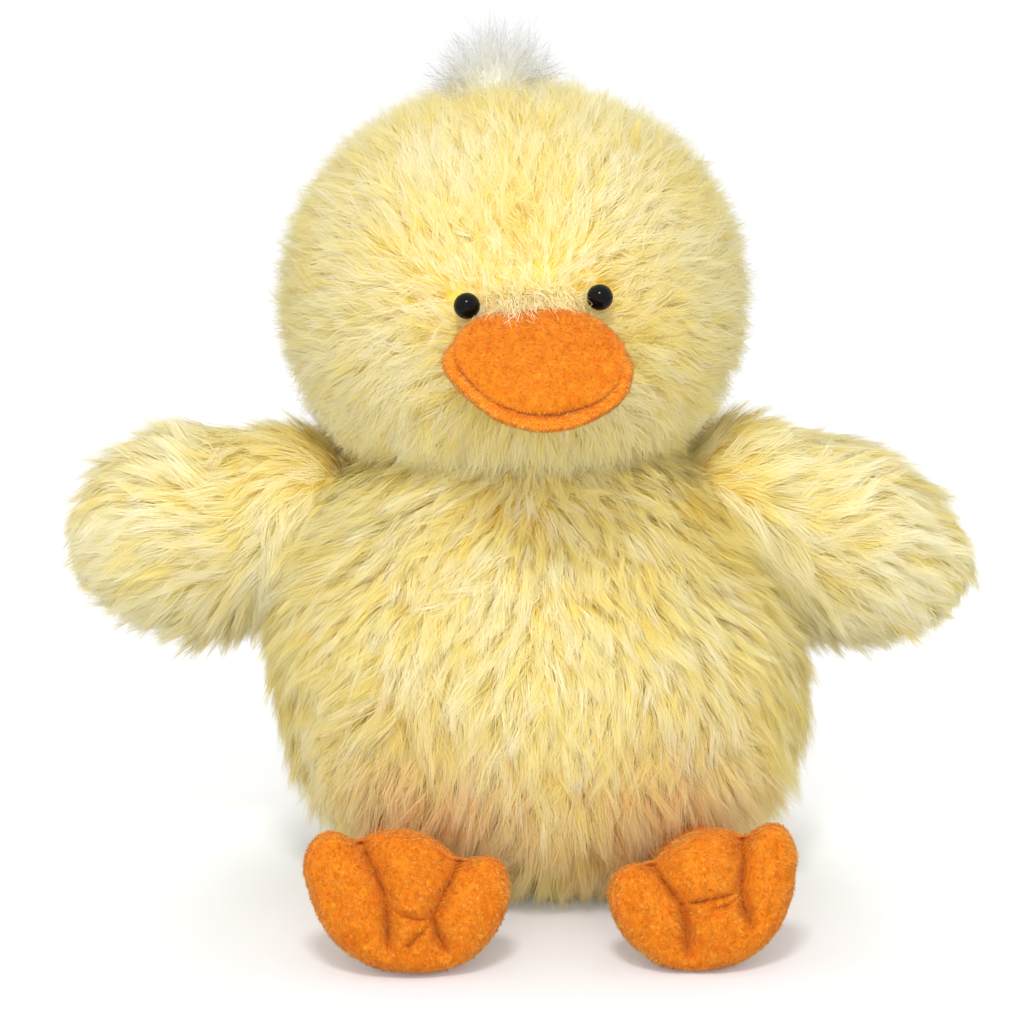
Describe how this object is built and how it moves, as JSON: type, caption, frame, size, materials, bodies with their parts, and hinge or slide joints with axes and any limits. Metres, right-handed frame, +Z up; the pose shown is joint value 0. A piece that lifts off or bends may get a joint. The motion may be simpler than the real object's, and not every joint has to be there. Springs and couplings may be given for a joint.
{
  "type": "plush duck",
  "caption": "Stuffed plush duck in long fur with a velour bill and webbed feet, resting on its flattened base; the head, wings and feet move.",
  "frame": {"origin": "centre of the flat resting face under the torso", "axes": "+X to the duck's own left, wing tip to wing tip; -Y the way it looks; +Z up"},
  "size_m": [0.3289, 0.2491, 0.2985],
  "materials": {
    "fur": "long-pile pale yellow fur fabric",
    "tuft": "longer white fur",
    "velour": "short-nap orange velour",
    "filling": "loose polyester fibre",
    "pellet_bag": "plain woven bag filled with pellets",
    "eye": "glossy black",
    "washer": "plain moulded plastic"
  },
  "bodies": {
    "torso": {"torso_skin": "fur", "torso_stuffing": "filling", "pellet_pouch": "pellet_bag", "tail": "fur", "leg_left": "velour", "leg_right": "velour"},
    "neck": {"neck_stuffing": "filling"},
    "head": {"head_skin": "fur", "head_stuffing": "filling", "crest_tuft": "tuft", "beak_upper": "velour", "beak_lower": "velour", "beak_stuffing": "filling", "eye_left": "eye", "eye_right": "eye", "eye_washer_left": "washer", "eye_washer_right": "washer"},
    "shoulder_left": {"shoulder_left_stuffing": "filling"},
    "wing_left": {"wing_left_skin": "fur", "wing_left_stuffing": "filling"},
    "shoulder_right": {"shoulder_right_stuffing": "filling"},
    "wing_right": {"wing_right_skin": "fur", "wing_right_stuffing": "filling"},
    "foot_left": {"foot_left_upper": "velour", "foot_left_sole": "velour", "foot_left_stuffing": "filling"},
    "foot_right": {"foot_right_upper": "velour", "foot_right_sole": "velour", "foot_right_stuffing": "filling"}
  },
  "joints": [
    {"name": "head_turn", "type": "hinge", "parent": "torso", "child": "neck", "pos_m": [-0.009, 0, 0.12], "axis": [0, 0, 1], "range_deg": [-25, 25], "stiffness_Nm_per_rad": 0.4},
    {"name": "head_nod", "type": "hinge", "parent": "neck", "child": "head", "pos_m": [-0.009, 0, 0.12], "axis": [1, 0, 0], "range_deg": [-8, 8], "stiffness_Nm_per_rad": 0.7},
    {"name": "wing_left_sweep", "type": "hinge", "parent": "torso", "child": "shoulder_left", "pos_m": [0.0738, 0.002, 0.135], "axis": [0, 0, 1], "range_deg": [-25, 15], "stiffness_Nm_per_rad": 0.25},
    {"name": "wing_left_lift", "type": "hinge", "parent": "shoulder_left", "child": "wing_left", "pos_m": [0.0738, 0.002, 0.135], "axis": [0, -1, 0], "range_deg": [-6, 35], "stiffness_Nm_per_rad": 0.25},
    {"name": "wing_right_sweep", "type": "hinge", "parent": "torso", "child": "shoulder_right", "pos_m": [-0.0882, 0.002, 0.133], "axis": [0, 0, -1], "range_deg": [-25, 15], "stiffness_Nm_per_rad": 0.25},
    {"name": "wing_right_lift", "type": "hinge", "parent": "shoulder_right", "child": "wing_right", "pos_m": [-0.0882, 0.002, 0.133], "axis": [0, 1, 0], "range_deg": [-6, 35], "stiffness_Nm_per_rad": 0.25},
    {"name": "foot_left_tip", "type": "hinge", "parent": "torso", "child": "foot_left", "pos_m": [0.049, -0.101, 0.021], "axis": [1, 0, 0], "range_deg": [-8, 30], "stiffness_Nm_per_rad": 0.12},
    {"name": "foot_right_tip", "type": "hinge", "parent": "torso", "child": "foot_right", "pos_m": [-0.049, -0.101, 0.021], "axis": [1, 0, 0], "range_deg": [-8, 30], "stiffness_Nm_per_rad": 0.12}
  ]
}
